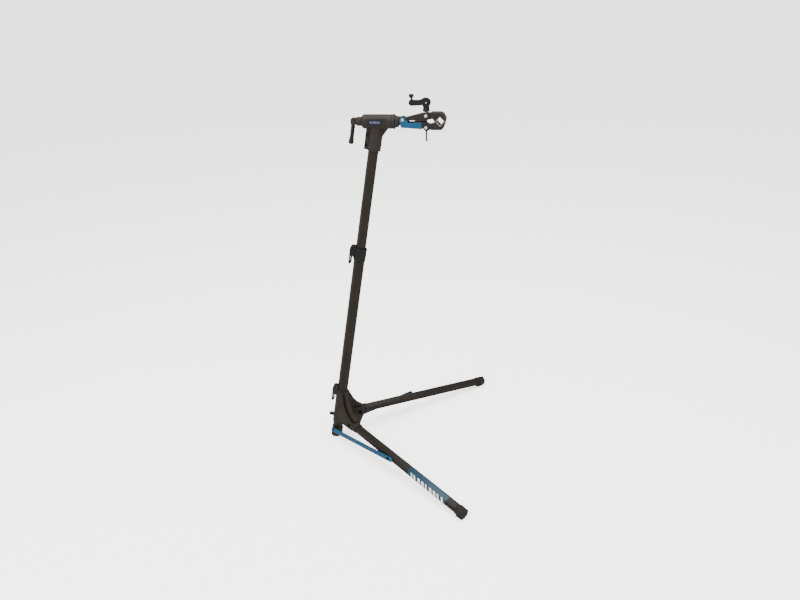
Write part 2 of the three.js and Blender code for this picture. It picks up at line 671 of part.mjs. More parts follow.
function lowerArm() {
  const side = new THREE.Shape();
  side.absarc(PIVOT.x, PIVOT.z, 11.5, Math.PI * 0.25, Math.PI * 1.02, false);
  side.lineTo(95.5, -14);
  side.quadraticCurveTo(95.5, -21, 102, -21.5);
  side.lineTo(179, -26.5);
  side.lineTo(177, -1);
  side.lineTo(127, -2);
  const outer = across(side, -19, 19);
  const inner = across([[80, -19], [110, -19.5], [200, -24.8], [200, 40], [80, 40]], -16.6, 16.6);
  const hole = cylinder('y', 5.3, -30, 30, [PIVOT.x, PIVOT.z], 20);
  return cut(outer, inner, hole);
}

function lowerJaw() {
  const arm = across([
    [148, -19.4], [181, -22.6], [194.5, -37], [210, -28], [222, -28.4], [222, -8.5], [206, -8.5],
    [194.5, -2], [188, 1.5], [148, 1.5],
  ], -ARM_HALF, ARM_HALF);
  const jaw = across([
    [214, -28.4], [256, -28.4], [264, -20], [268, -8], [270, 3.4], [228, 3.4], [222, -8.5], [214, -8.5],
  ], -JAW_HALF, JAW_HALF);
  const notch = across(
    vNotch(MOUTH.halfDiagonal + MOUTH.pad * Math.SQRT2 + GAP, -1).reverse(), -40, 40,
  );
  const slot = box(178, 209, -SLOT_HALF, SLOT_HALF, -60, 40);
  const lugHole = cylinder('y', 5.3, -30, 30, [LOWER_TRUNNION.x, LOWER_TRUNNION.z], 20);
  return cut(join(arm, jaw), notch, slot, lugHole);
}

// Small screws that hold the blue arm to the cast jaw and the jaw on its pivot.
function headedPin(x, z, half, headHeight = 2.6, head = 6.2) {
  return join(
    cylinder('y', 5, -half, half, [x, z], 20),
    cylinder('y', head, -half - headHeight, -half, [x, z], 20),
    cylinder('y', head, half, half + headHeight, [x, z], 6),
  );
}

// A short cross pin at the end of a trunnion, on one side.
const trunnionScrew = (x, z, side) => {
  const [y0, y1] = outward(side, SLOT_HALF + 0.6, ARM_HALF + 0.2);
  const [h0, h1] = outward(side, ARM_HALF + GAP, ARM_HALF + 3.2);
  const [s0, s1] = outward(side, ARM_HALF, ARM_HALF + GAP + 0.2);
  return join(
    cylinder('y', 5, y0, y1, [x, z], 20),
    cylinder('y', 5, s0, s1, [x, z], 20),
    cylinder('y', 6, h0, h1, [x, z], 20),
  );
};

function upperTrunnion() {
  const { x, z } = UPPER_TRUNNION;
  const barrel = cylinder('y', 7.5, -SLOT_HALF + GAP, SLOT_HALF - GAP, [x, z]);
  const neck = cylinder('z', 7, z, 39, [x, 0], 20);
  return cut(join(barrel, neck), cylinder('z', ROD_HOLE, -10, 60, [x, 0], 16));
}

// The saddle that the cam bears on: a puck with a hollow round the cam in its top.
function saddlePuck() {
  const puck = turned([
    [0, 39.3], [12, 39.3], [13.5, 41], [13.5, 47], [12.6, 48], [12.6, 62], [0, 62],
  ]).translate([UPPER_TRUNNION.x, 0, 0]);
  const seat = cylinder('y', CAM_DISC + 0.4, -30, 30, [CAM_PIN.x, CAM_PIN.z], 40);
  return cut(puck, seat, cylinder('z', ROD_HOLE, 30, 70, [UPPER_TRUNNION.x, 0], 16));
}

function clampRod() {
  const rod = cylinder('z', ROD_RADIUS, -77, 69, [CAM_PIN.x, 0], 16);
  const eye = cylinder('y', 7, -3.4, 3.4, [CAM_PIN.x, CAM_PIN.z], 20);
  const hole = cylinder('y', 2.8, -10, 10, [CAM_PIN.x, CAM_PIN.z], 16);
  return cut(join(rod, eye), hole);
}

const camPivotPin = () => cylinder('y', 2.5, -8.6, 8.6, [CAM_PIN.x, CAM_PIN.z], 16);

function crankLever() {
  const outline = new THREE.Shape();
  outline.absarc(CAM_PIN.x, CAM_PIN.z, CAM_DISC, radians(-150), radians(90), false);
  outline.lineTo(184, 91);
  outline.quadraticCurveTo(174, 82, 160, 82);
  outline.lineTo(146, 83);
  outline.absarc(138.5, 73, 12, radians(60), radians(275), false);
  outline.lineTo(165, 62.5);
  const body = across(outline, -7.8, 7.8);
  const slot = box(170, 215, -4.2, 4.2, 50, 82);
  const pinHole = cylinder('y', 2.8, -10, 10, [CAM_PIN.x, CAM_PIN.z], 16);
  const knobHole = cylinder('z', 3.3, 68, 90, [KNOB_X, 0], 16);
  return cut(body, slot, pinHole, knobHole);
}

function crankKnob() {
  return turned([
    [0, 69], [3, 69], [3, 87.5], [5.2, 87.5], [5.2, 92], [8.6, 93.5], [10.5, 97], [10.5, 101],
    [8.6, 104.5], [4, 106], [0, 106],
  ], 20).translate([KNOB_X, 0, 0]);
}

function jawNut() {
  const barrel = cylinder('y', 7.5, -SLOT_HALF + GAP, SLOT_HALF - GAP,
    [LOWER_TRUNNION.x, LOWER_TRUNNION.z]);
  return cut(barrel, cylinder('z', ROD_HOLE, -60, 40, [LOWER_TRUNNION.x, 0], 16));
}

function jawSet() {
  piece('clamp_shaft', clampShaft(), 'blackCast', head);
  piece('upper_jaw', upperJaw(), 'blackCast', head);
  piece('upper_jaw_pad', padLiner(1), 'padGrey', head);
  piece('jaw_pivot_bolt', headedPin(PIVOT.x, PIVOT.z, 19.3), 'silver', head);
  for (const side of SIDES) {
    const upper = trunnionScrew(UPPER_TRUNNION.x, UPPER_TRUNNION.z, side);
    piece(`upper_trunnion_screw_${side.name}`, upper, 'silver', head);
    const lower = trunnionScrew(LOWER_TRUNNION.x, LOWER_TRUNNION.z, side);
    piece(`lower_trunnion_screw_${side.name}`, lower, 'silver', head);
  }
  piece('lower_arm', lowerArm(), 'blue', head);
  piece('lower_jaw', lowerJaw(), 'blackCast', head);
  piece('lower_jaw_pad', padLiner(-1), 'padGrey', head);
  piece('upper_trunnion', upperTrunnion(), 'steel', head);
  piece('saddle_puck', saddlePuck(), 'blackPlastic', head);
  piece('clamp_rod', clampRod(), 'steel', head);
  piece('cam_pivot_pin', camPivotPin(), 'silver', head);
  piece('crank_lever', crankLever(), 'blackPlastic', head);
  piece('crank_knob', crankKnob(), 'blackPlastic', head);
  piece('jaw_nut', jawNut(), 'brass', head);
}

// ---------------------------------------------------------------- the whole stand
piece('lower_tube', lowerTube(), 'blackTube', mast);
piece('mast_foot', mastFoot(), 'rubber', mast);
piece('base_bracket', baseBracket(), 'blackCast', mast);
piece('mast_collar', mastCollar(), 'blackPlastic', mast);
camClamp('mast', MAST_PIN_HEIGHT);

piece('leg_collar', legCollar(), 'blackCast', mast);
camClamp('collar', COLLAR_PIN_HEIGHT);
piece('collar_plunger_pin', plungerPin(), 'steel', mast);
piece('collar_plunger_knob', plungerKnob(), 'blackPlastic', mast);
for (const side of SIDES) legSet(side);

piece('upper_tube', upperTube(), 'blackTube', mast);
piece('guide_plug', guidePlug(), 'blackPlastic', mast);
piece('head_casting', headCasting(), 'blackCast', head);
piece('head_plaque', plaque(), 'label', head);
SOCKET_BOLTS.forEach((along, index) => {
  piece(`socket_bolt_${index + 1}`, socketBolt(along), 'blackSteel', head);
});
piece('lock_hub', lockHub(), 'blackCast', head);
piece('lock_stud', lockStud(), 'steel', head);
piece('lock_handle', lockHandle(), 'blackCast', head);
piece('lock_grip', lockGrip(), 'blackPlastic', head);
jawSet();

export default stand;
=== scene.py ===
"""A folding bicycle repair stand: the finished model on its frame, with floor, light and camera."""
import json
import math

import bmesh
import bpy
from mathutils import Matrix, Vector


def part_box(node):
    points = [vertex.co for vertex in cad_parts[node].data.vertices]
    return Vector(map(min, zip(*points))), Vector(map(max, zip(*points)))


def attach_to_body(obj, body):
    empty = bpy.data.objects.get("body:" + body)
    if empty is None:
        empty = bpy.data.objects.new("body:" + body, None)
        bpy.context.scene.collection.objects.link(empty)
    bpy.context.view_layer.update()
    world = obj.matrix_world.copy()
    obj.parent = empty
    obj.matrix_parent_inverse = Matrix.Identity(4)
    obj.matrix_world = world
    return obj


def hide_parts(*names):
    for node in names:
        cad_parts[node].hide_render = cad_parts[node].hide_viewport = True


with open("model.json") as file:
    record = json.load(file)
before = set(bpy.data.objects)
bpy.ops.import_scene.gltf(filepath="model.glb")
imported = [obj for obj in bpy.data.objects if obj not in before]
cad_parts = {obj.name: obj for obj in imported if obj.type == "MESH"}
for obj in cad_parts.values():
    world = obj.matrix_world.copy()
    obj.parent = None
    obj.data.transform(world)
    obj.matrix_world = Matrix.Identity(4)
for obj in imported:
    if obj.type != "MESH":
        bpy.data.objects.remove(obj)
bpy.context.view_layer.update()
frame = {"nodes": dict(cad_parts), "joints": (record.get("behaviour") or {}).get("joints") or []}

MM = 0.001
NODES = frame["nodes"]
JOINTS = {joint["name"]: joint for joint in frame["joints"]}

# ---------------------------------------------------------------- camera
CAMERA_AZIMUTH = 9.69
CAMERA_HEIGHT = 22.94
CAMERA_ROLL = -1.56
CAMERA_DISTANCE = 3.418
CAMERA_LENS = 35.95
CAMERA_AIM = Vector((0.3168, 0.0, 0.6924))


def make_camera():
    """The camera, looking down a little from the front right."""
    turn, lift, roll = (math.radians(a) for a in (CAMERA_AZIMUTH, CAMERA_HEIGHT, CAMERA_ROLL))
    back = Vector((math.sin(turn) * math.cos(lift), -math.cos(turn) * math.cos(lift), math.sin(lift)))
    data = bpy.data.cameras.new("camera")
    data.lens = CAMERA_LENS
    data.clip_end = 400
    camera = bpy.data.objects.new("camera", data)
    bpy.context.scene.collection.objects.link(camera)
    camera.location = CAMERA_AIM + back * CAMERA_DISTANCE
    camera.rotation_euler = (math.pi / 2 - lift, 0, turn)
    camera.matrix_world = camera.matrix_basis @ Matrix.Rotation(roll, 4, "Z")
    bpy.context.scene.camera = camera


make_camera()


# ---------------------------------------------------------------- frames
def joint_pivot(name):
    return Vector(JOINTS[name]["pos_m"])


def joint_axis(name):
    return Vector(JOINTS[name]["axis"]).normalized()


def frame_at(origin, x_axis, z_axis):
    """A matrix that puts local x and z along the given directions."""
    z = z_axis.normalized()
    y = z.cross(x_axis).normalized()
    x = y.cross(z)
    return Matrix.Translation(origin) @ Matrix((x, y, z)).transposed().to_4x4()


def middle(node):
    low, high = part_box(node)
    return (Vector(low) + Vector(high)) / 2


LEG_PIVOT = 100 * MM  # from the mast's axis to the hinge of a leg
MAST = frame_at(Vector(), Vector((1, 0, 0)), joint_axis("leg_collar_slide"))
HEAD = Matrix.Translation(joint_pivot("clamp_rotation"))
BARREL = HEAD @ Matrix.Rotation(math.pi / 2, 4, "Y")


def leg_frame(side):
    """x along the leg, from the mast axis; z up, across the leg."""
    pivot = joint_pivot(f"{side}_leg_fold")
    along = (middle(f"{side}_leg_tube") - pivot).normalized()
    up = along.cross(joint_axis(f"{side}_leg_fold"))
    return frame_at(pivot - along * LEG_PIVOT, along, up)


def strut_frame(side):
    """x along the strut from its lower pivot; y along that pivot's axis."""
    pivot = joint_pivot(f"{side}_strut_fold")
    across = joint_axis(f"{side}_strut_fold")
    reach = middle(f"{side}_strut_outer_bolt") - pivot
    along = (reach - across * reach.dot(across)).normalized()
    return frame_at(pivot, along, along.cross(across))


SIDES = {"front": -1, "back": 1}
LEGS = {side: leg_frame(side) for side in SIDES}
STRUTS = {side: strut_frame(side) for side in SIDES}


# ---------------------------------------------------------------- node maths for materials
class Value:
    """A number inside a material, with the arithmetic that its nodes can do."""

    def __init__(self, finish, socket):
        self.finish = finish
        self.socket = socket

    def _math(self, operation, first, second):
        made = self.finish.node("ShaderNodeMath", {"operation": operation}, {0: first, 1: second})
        return Value(self.finish, made.outputs[0])

    def __add__(self, other):
        return self._math("ADD", self, other)

    __radd__ = __add__

    def __sub__(self, other):
        return self._math("SUBTRACT", self, other)

    def __rsub__(self, other):
        return self._math("SUBTRACT", other, self)

    def __mul__(self, other):
        return self._math("MULTIPLY", self, other)

    __rmul__ = __mul__

    def __lt__(self, other):
        return self._math("LESS_THAN", self, other)

    def __gt__(self, other):
        return self._math("GREATER_THAN", self, other)

    def absolute(self):
        return self._math("ABSOLUTE", self, 0)

    def wrapped(self, period):
        """The remainder in 0..1 of the value counted in periods."""
        return self._math("FRACT", self * (1 / period), 0)

    def between(self, low, high):
        """0 below low, 1 above high, and a ramp between them."""
        settings = {"clamp": True}
        made = self.finish.node("ShaderNodeMapRange", settings, {0: self, 1: low, 2: high})
        return Value(self.finish, made.outputs[0])


class Finish:
    """One material and the nodes that make it."""

    def __init__(self, name):
        self.material = bpy.data.materials.new(name)
        self.material.use_nodes = True
        self.tree = self.material.node_tree
        self.tree.nodes.clear()
        self.shader = self.tree.nodes.new("ShaderNodeBsdfPrincipled")
        output = self.tree.nodes.new("ShaderNodeOutputMaterial")
        self.tree.links.new(self.shader.outputs[0], output.inputs["Surface"])
        self.place = self.node("ShaderNodeTexCoord").outputs["Object"]

    def node(self, kind, settings=None, sockets=None):
        """A node with its settings made first, then the values or links of its sockets."""
        made = self.tree.nodes.new(kind)
        for key, value in (settings or {}).items():
            setattr(made, key, value)
        for key, value in (sockets or {}).items():
            self.feed(made.inputs[key], value)
        return made

    def feed(self, socket, value):
        if isinstance(value, Value):
            self.tree.links.new(value.socket, socket)
        elif isinstance(value, bpy.types.NodeSocket):
            self.tree.links.new(value, socket)
        else:
            socket.default_value = value

    def set(self, **sockets):
        for name, value in sockets.items():
            label = name.replace("_", " ").title().replace("Ior", "IOR")
            self.feed(self.shader.inputs[label], value)

    def along(self, direction):
        """The distance in metres along a direction, from the origin."""
        settings = {"operation": "DOT_PRODUCT"}
        made = self.node("ShaderNodeVectorMath", settings, {0: self.place, 1: tuple(direction)})
        return Value(self, made.outputs["Value"])

    def point(self, x, y, z):
        return self.node("ShaderNodeCombineXYZ", {}, {0: x, 1: y, 2: z}).outputs[0]

    def noise(self, size, detail=3.0, roughness=0.5, where=None):
        """Noise whose blotches are about `size` metres across, between 0 and 1."""
        sockets = {"Vector": where or self.place, "Scale": 1 / size, "Detail": detail,
                   "Roughness": roughness}
        made = self.node("ShaderNodeTexNoise", {"normalize": True}, sockets)
        return Value(self, made.outputs["Fac"])

    def cells(self, size):
        """The distance to the middle of small cells about `size` metres across."""
        made = self.node("ShaderNodeTexVoronoi", {}, {"Vector": self.place, "Scale": 1 / size})
        return Value(self, made.outputs["Distance"])

    def tint(self, mask, first, second):
        """A colour that goes from first to second as the mask goes from 0 to 1."""
        settings = {"data_type": "RGBA"}
        made = self.node("ShaderNodeMix", settings, {"Factor": mask, 6: first, 7: second})
        return made.outputs[2]

    def bump(self, height, depth, strength):
        sockets = {"Height": height, "Distance": depth, "Strength": strength}
        return self.node("ShaderNodeBump", {}, sockets).outputs["Normal"]

    def convex_edges(self, radius):
        """1 on convex edges and corners within the radius, 0 on open faces."""
        rounded = self.node("ShaderNodeBevel", {"samples": 4}, {"Radius": radius}).outputs[0]
        flat = self.node("ShaderNodeNewGeometry").outputs["Normal"]
        settings = {"operation": "DOT_PRODUCT"}
        same = self.node("ShaderNodeVectorMath", settings, {0: rounded, 1: flat})
        return (1 - Value(self, same.outputs["Value"])).between(0.01, 0.14)


def rgb(red, green, blue):
    """A colour given in the 0..255 steps of a screen, made linear."""
    def linear(step):
        part = step / 255
        return part / 12.92 if part <= 0.04045 else ((part + 0.055) / 1.055) ** 2.4
    return (linear(red), linear(green), linear(blue), 1.0)


# ---------------------------------------------------------------- materials
def anodised_tube(name, axis, across):
    """Black anodised extrusion: fine die lines along the tube, handling marks, worn corners."""
    finish = Finish(name)
    side = axis.cross(across).normalized()
    lines = finish.point(finish.along(axis) * 0.02, finish.along(across), finish.along(side))
    die_lines = finish.noise(0.0006, detail=2, where=lines)
    clouds = finish.noise(0.09, detail=4)
    smudges = finish.noise(0.012, detail=5, roughness=0.65).between(0.5, 0.75)
    pale_edges = finish.convex_edges(0.0012) * finish.noise(0.02, detail=4).between(0.4, 0.7)
    dark = finish.tint(clouds, rgb(25, 22, 19), rgb(34, 30, 26))
    finish.set(
        base_color=finish.tint(pale_edges * 0.25, dark, rgb(84, 79, 74)),
        metallic=0.1,
        roughness=0.36 + clouds * 0.08 + smudges * 0.08 - pale_edges * 0.06,
        normal=finish.bump(die_lines, 0.00004, 0.35),
        specular_ior_level=0.12,
    )
    return finish.material


def powder_coat(name, tone=1.0):
    """Black powder coat on a casting: a fine orange peel, specks, and edges lighter grey, partly
    rubbed wear and partly a painted highlight on the rims.
    """
    finish = Finish(name)
    peel = finish.noise(0.0011, detail=2)
    grain = finish.cells(0.00055)
    clouds = finish.noise(0.035, detail=4)
    # The edges are painted lighter grey, partly as rubbed wear and partly as a painted highlight on
    # the rims and ribs.
    pale_edges = finish.convex_edges(0.0016) * finish.noise(0.009, detail=4).between(0.42, 0.68)
    low = rgb(27 * tone, 23 * tone, 20 * tone)
    high = rgb(39 * tone, 34 * tone, 30 * tone)
    finish.set(
        base_color=finish.tint(pale_edges * 0.5, finish.tint(clouds, low, high), rgb(96, 90, 84)),
        metallic=0.05,
        roughness=0.44 + clouds * 0.1 + grain * 0.06 - pale_edges * 0.1,
        normal=finish.bump(peel + grain * 0.4, 0.00009, 0.5),
        specular_ior_level=0.14,
    )
    return finish.material


def moulded_plastic():
    """Black glass-filled nylon: spark-eroded grain, and a little painted sheen: lighter grey on the
    edges and high spots.
    """
    finish = Finish("moulded_plastic")
    grain = finish.noise(0.0007, detail=3, roughness=0.6)
    clouds = finish.noise(0.02, detail=4)
    # Painted sheen: the edges are painted lighter grey.
    pale_edges = finish.convex_edges(0.001)
    dark = finish.tint(clouds, rgb(13, 12, 12), rgb(21, 20, 19))
    finish.set(
        base_color=finish.tint(pale_edges * 0.25, dark, rgb(62, 60, 58)),
        roughness=0.42 + grain * 0.18 + clouds * 0.06,
        normal=finish.bump(grain, 0.00007, 0.45),
        specular_ior_level=0.18,
    )
    return finish.material


def foot_rubber():
    """Matt rubber: blotched with dust low down, finely pitted."""
    finish = Finish("foot_rubber")
    pits = finish.cells(0.0011)
    grain = finish.noise(0.0009, detail=4, roughness=0.65)
    dust = finish.noise(0.016, detail=5, roughness=0.6).between(0.45, 0.8)
    low = 1 - finish.along((0, 0, 1)).between(0.0, 0.03)
    finish.set(
        base_color=finish.tint(dust * (0.1 + low * 0.25), rgb(20, 19, 18), rgb(72, 69, 64)),
        roughness=0.72 + dust * 0.16,
        normal=finish.bump(grain + pits * 0.5, 0.00012, 0.5),
        specular_ior_level=0.2,
    )
    return finish.material


def blue_coat(name, deep, light):
    """Satin blue coating with a fine flake, and bright metal where its edges have rubbed."""
    finish = Finish(name)
    clouds = finish.noise(0.03, detail=4)
    flake = finish.cells(0.0004)
    peel = finish.noise(0.0016, detail=2)
    pale_edges = finish.convex_edges(0.0008) * finish.noise(0.006, detail=4).between(0.5, 0.7)
    blue = finish.tint(clouds * 0.8 + flake * 0.2, deep, light)
    finish.set(
        base_color=finish.tint(pale_edges * 0.5, blue, rgb(176, 182, 186)),
        metallic=0.15,
        roughness=0.3 + clouds * 0.1 + flake * 0.05,
        coat_weight=0.08 + clouds * 0.06,
        normal=finish.bump(peel, 0.00004, 0.4),
        coat_roughness=0.2, specular_ior_level=0.3,
    )
    return finish.material


def bright_metal(name, tone, rough, metallic=1.0):
    """Plated or polished metal: fine scratches, faint stains, duller in its blotches."""
    finish = Finish(name)
    scratches = finish.noise(0.0005, detail=4, roughness=0.7)
    stains = finish.noise(0.008, detail=4).between(0.45, 0.8)
    darker = tuple(part * 0.72 for part in tone[:3]) + (1.0,)
    finish.set(
        base_color=finish.tint(stains * 0.5 + scratches * 0.15, tone, darker),
        metallic=metallic,
        roughness=rough + stains * 0.12 + scratches * 0.08,
        normal=finish.bump(scratches, 0.00002, 0.35),
    )
    return finish.material


def jaw_liner():
    """Grey moulded liner: dull, scuffed along the grip, a little dirt in the grain."""
    finish = Finish("jaw_liner")
    grain = finish.noise(0.0009, detail=4, roughness=0.6)
    scuffs = finish.noise(0.007, detail=5, roughness=0.65).between(0.5, 0.78)
    base = finish.tint(grain * 0.5, rgb(112, 109, 105), rgb(88, 85, 82))
    finish.set(
        base_color=finish.tint(scuffs * 0.55, base, rgb(50, 48, 46)),
        roughness=0.6 + scuffs * 0.15,
        normal=finish.bump(grain, 0.0001, 0.4),
    )
    return finish.material


def printed_band(name, along, rows, field, ink, first, last, bar):
    """A printed label: a plain field with one row of slanted bars of uneven lengths."""
    finish = Finish(name)
    upward, level, half = rows
    pitch, share = bar
    travel = finish.along(along)
    height = finish.along(upward) - level
    slanted = travel + height * 0.35
    inside = (slanted > first) * (slanted < last)
    widths = share - (slanted.wrapped(pitch * 3) > 0.66) * 0.22
    bars = (slanted.wrapped(pitch) < widths) * (height.absolute() < half) * inside
    mottled = finish.noise(0.01, detail=4)
    deep = tuple(part * 0.8 for part in field[:3]) + (1.0,)
    scratches = finish.noise(0.0012, detail=5, roughness=0.7).between(0.62, 0.75)
    finish.set(
        base_color=finish.tint(bars * (1 - scratches * 0.4), finish.tint(mottled, field, deep), ink),
        roughness=0.36 + mottled * 0.14,
        coat_weight=0.06 + mottled * 0.06,
        normal=finish.bump(bars, 0.00003, 0.4),
        coat_roughness=0.25, specular_ior_level=0.25,
    )
    return finish.material


MAST_Z = MAST.col[2].to_3d()
MAST_X = MAST.col[0].to_3d()
ACROSS_Y = Vector((0, 1, 0))

mast_tube_black = anodised_tube("anodised_mast", MAST_Z, MAST_X)
leg_tube_black = {
    side: anodised_tube(f"anodised_{side}_leg", LEGS[side].col[0].to_3d(), LEGS[side].col[1].to_3d())
    for side in SIDES
}
cast_black = powder_coat("powder_coat")
jaw_black = powder_coat("jaw_powder_coat", 0.9)
plastic = moulded_plastic()
rubber = foot_rubber()
arm_blue = blue_coat("arm_blue", rgb(0, 52, 80), rgb(2, 68, 100))
strut_blue = blue_coat("strut_blue", rgb(0, 50, 74), rgb(2, 65, 92))
black_oxide = bright_metal("black_oxide", rgb(34, 31, 29), 0.3)
zinc = bright_metal("zinc_plate", rgb(188, 187, 184), 0.3, 0.5)
rod_steel = bright_metal("rod_steel", rgb(138, 138, 140), 0.34)
polished = bright_metal("polished_inlay", rgb(226, 226, 226), 0.2)
brass = bright_metal("turned_brass", rgb(190, 152, 84), 0.3)
liner = jaw_liner()


# ---------------------------------------------------------------- mesh work
def finish_mesh(name, mesh, material, sharp=35):
    mesh.materials.clear()
    mesh.materials.append(material)
    mesh.shade_smooth()
    mesh.set_sharp_from_angle(angle=math.radians(sharp))
    piece = bpy.data.objects.new(name, mesh)
    bpy.context.scene.collection.objects.link(piece)
    return piece


def attach(piece, body, slot, *nodes):
    """The piece rides on a body and stands for the CAD nodes named, which it hides; the slot is not
    used.
    """
    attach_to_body(piece, body)
    if nodes:
        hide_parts(*nodes)
    return piece


def round_edges(piece, width, segments, angle=32):
    """Small radii on every edge sharper than the angle, with flat faces kept flat."""
    bevel = piece.modifiers.new("radii", "BEVEL")
    bevel.limit_method = "ANGLE"
    bevel.angle_limit = math.radians(angle)
    bevel.width = width
    bevel.segments = segments
    bevel.use_clamp_overlap = True
    weighted = piece.modifiers.new("flat faces", "WEIGHTED_NORMAL")
    weighted.keep_sharp = True
    return piece


def from_node(node, material, radius, segments=2):
    """A CAD node's solid with its triangles merged into faces and its edges rounded."""
    mesh = NODES[node].data.copy()
    solid = bmesh.new()
    solid.from_mesh(mesh)
    bmesh.ops.remove_doubles(solid, verts=solid.verts, dist=2e-6)
    bmesh.ops.dissolve_limit(
        solid, angle_limit=math.radians(0.8), verts=solid.verts, edges=solid.edges,
    )
    solid.to_mesh(mesh)
    solid.free()
    piece = finish_mesh(f"{node}_finished", mesh, material, sharp=40)
    return round_edges(piece, radius, segments)


def dress(body, slot, node, material, radius, segments=2):
    """A CAD node's own shape with rounded edges, on its body; the slot is not used."""
    attach(from_node(node, material, radius, segments), body, slot, node)


def mesh_of(name, solid, place):
    bmesh.ops.remove_doubles(solid, verts=solid.verts, dist=1e-7)
    bmesh.ops.recalc_face_normals(solid, faces=solid.faces)
    mesh = bpy.data.meshes.new(name)
    solid.to_mesh(mesh)
    solid.free()
    mesh.transform(place)
    return mesh


def polygon_factor(sides, angle):
    """How far a polygon's edge lies at an angle, against its flats, which lie at 1."""
    half = math.pi / sides
    return 1 / math.cos((angle + half) % (2 * half) - half)


def ring_points(radius, height, sides, polygon=0):
    """One ring of points about z, round or with the given number of flats."""
    points = []
    for step in range(sides):
        angle = 2 * math.pi * step / sides
        reach = radius * (polygon_factor(polygon, angle) if polygon else 1)
        points.append(Vector((reach * math.cos(angle), reach * math.sin(angle), height)))
    return points


def skin(rings, closed=False):
    """A surface through rings of equal length, capped at both ends or joined end to end."""
    solid = bmesh.new()
    loops = [[solid.verts.new(point) for point in ring] for ring in rings]
    pairs = zip(loops, loops[1:] + loops[:1] if closed else loops[1:])
    for lower, upper in pairs:
        for index in range(len(lower)):
            after = (index + 1) % len(lower)
            solid.faces.new((lower[index], lower[after], upper[after], upper[index]))
    if not closed:
        solid.faces.new(loops[0][::-1])
        solid.faces.new(loops[-1])
    return solid


def turned(name, profile, material, place, sides=48):
    """A turned piece about z from (radius, height[, flats]) steps in millimetres."""
    rings = []
    for step in profile:
        flats = step[2] if len(step) > 2 else 0
        rings.append(ring_points(step[0] * MM, step[1] * MM, sides, flats))
    return finish_mesh(name, mesh_of(name, skin(rings), place), material)


def rounded_hexagon(flats, corner, steps=6):
    """Points round a hexagon with two corners on the x axis, in metres."""
    centre = (flats / 2 - corner) / math.cos(math.pi / 6)
    points = []
    for side in range(6):
        for step in range(steps + 1):
            direction = side * math.pi / 3
            angle = direction + (step / steps - 0.5) * math.pi / 3
            points.append(Vector((
                centre * math.cos(direction) + corner * math.cos(angle),
                centre * math.sin(direction) + corner * math.sin(angle), 0,
            )))
    return points


def hexagon_tube(name, flats, wall, corner, start, end, material, place, edge=0.4):
    """A hexagonal tube along z with softened ends; sizes in millimetres."""
    def ring(inset, height):
        points = rounded_hexagon((flats - 2 * inset) * MM, max(corner - inset, 0.4) * MM)
        return [point + Vector((0, 0, height * MM)) for point in points]
    rings = [
        ring(edge, start), ring(edge * 0.3, start + edge * 0.3), ring(0, start + edge),
        ring(0, end - edge), ring(edge * 0.3, end - edge * 0.3), ring(edge, end),
        ring(wall - edge * 0.4, end), ring(wall, end - edge), ring(wall, start + edge),
        ring(wall - edge * 0.4, start),
    ]
    return finish_mesh(name, mesh_of(name, skin(rings, closed=True), place), material)


def extruded(name, outline, low, high, material, place, radius=0.8 * MM, segments=3):
    """An outline in x and z, carried across y from low to high, with rounded edges."""
    solid = bmesh.new()
    front = solid.faces.new([solid.verts.new((x, low, z)) for x, z in outline])
    back = bmesh.ops.extrude_face_region(solid, geom=[front])["geom"]
    moved = [item for item in back if isinstance(item, bmesh.types.BMVert)]
    bmesh.ops.translate(solid, verts=moved, vec=(0, high - low, 0))
    piece = finish_mesh(name, mesh_of(name, solid, place), material, sharp=40)
    return round_edges(piece, radius, segments)


def arc(x, z, radius, start, end, steps=16):
    """Points on an arc, angles in degrees."""
    angles = [math.radians(start + (end - start) * step / steps) for step in range(steps + 1)]
    return [(x + radius * math.cos(angle), z + radius * math.sin(angle)) for angle in angles]


# ---------------------------------------------------------------- what repeats
def repeat_tree(name, ring):
    """Geometry Nodes that set copies of an item on a line or, if ring is true, round a circle."""
    tree = bpy.data.node_groups.new(name, "GeometryNodeTree")
    tree.interface.new_socket("Geometry", in_out="OUTPUT", socket_type="NodeSocketGeometry")
    wanted = [("Item", "NodeSocketObject"), ("Count", "NodeSocketInt"),
              ("Step", "NodeSocketVector"), ("Radius", "NodeSocketFloat"),
              ("Material", "NodeSocketMaterial")]
    for label, kind in wanted:
        tree.interface.new_socket(label, in_out="INPUT", socket_type=kind)
    given = tree.nodes.new("NodeGroupInput")
    if ring:
        points = tree.nodes.new("GeometryNodeMeshCircle")
        tree.links.new(given.outputs["Count"], points.inputs["Vertices"])
        tree.links.new(given.outputs["Radius"], points.inputs["Radius"])
    else:
        points = tree.nodes.new("GeometryNodeMeshLine")
        tree.links.new(given.outputs["Count"], points.inputs["Count"])
        tree.links.new(given.outputs["Step"], points.inputs["Offset"])
    item = tree.nodes.new("GeometryNodeObjectInfo")
    place = tree.nodes.new("GeometryNodeInstanceOnPoints")
    tree.links.new(given.outputs["Item"], item.inputs["Object"])
    tree.links.new(points.outputs["Mesh"], place.inputs["Points"])
    tree.links.new(item.outputs["Geometry"], place.inputs["Instance"])
    if ring:
        facing = tree.nodes.new("FunctionNodeAlignRotationToVector")
        facing.axis = "X"
        facing.pivot_axis = "Z"
        where = tree.nodes.new("GeometryNodeInputPosition")
        tree.links.new(where.outputs[0], facing.inputs["Vector"])
        tree.links.new(facing.outputs[0], place.inputs["Rotation"])
    solid = tree.nodes.new("GeometryNodeRealizeInstances")
    paint = tree.nodes.new("GeometryNodeSetMaterial")
    output = tree.nodes.new("NodeGroupOutput")
    tree.links.new(place.outputs["Instances"], solid.inputs["Geometry"])
    tree.links.new(solid.outputs["Geometry"], paint.inputs["Geometry"])
    tree.links.new(given.outputs["Material"], paint.inputs["Material"])
    tree.links.new(paint.outputs["Geometry"], output.inputs["Geometry"])
    return tree


ROW_TREE = repeat_tree("row", ring=False)
RING_TREE = repeat_tree("ring", ring=True)


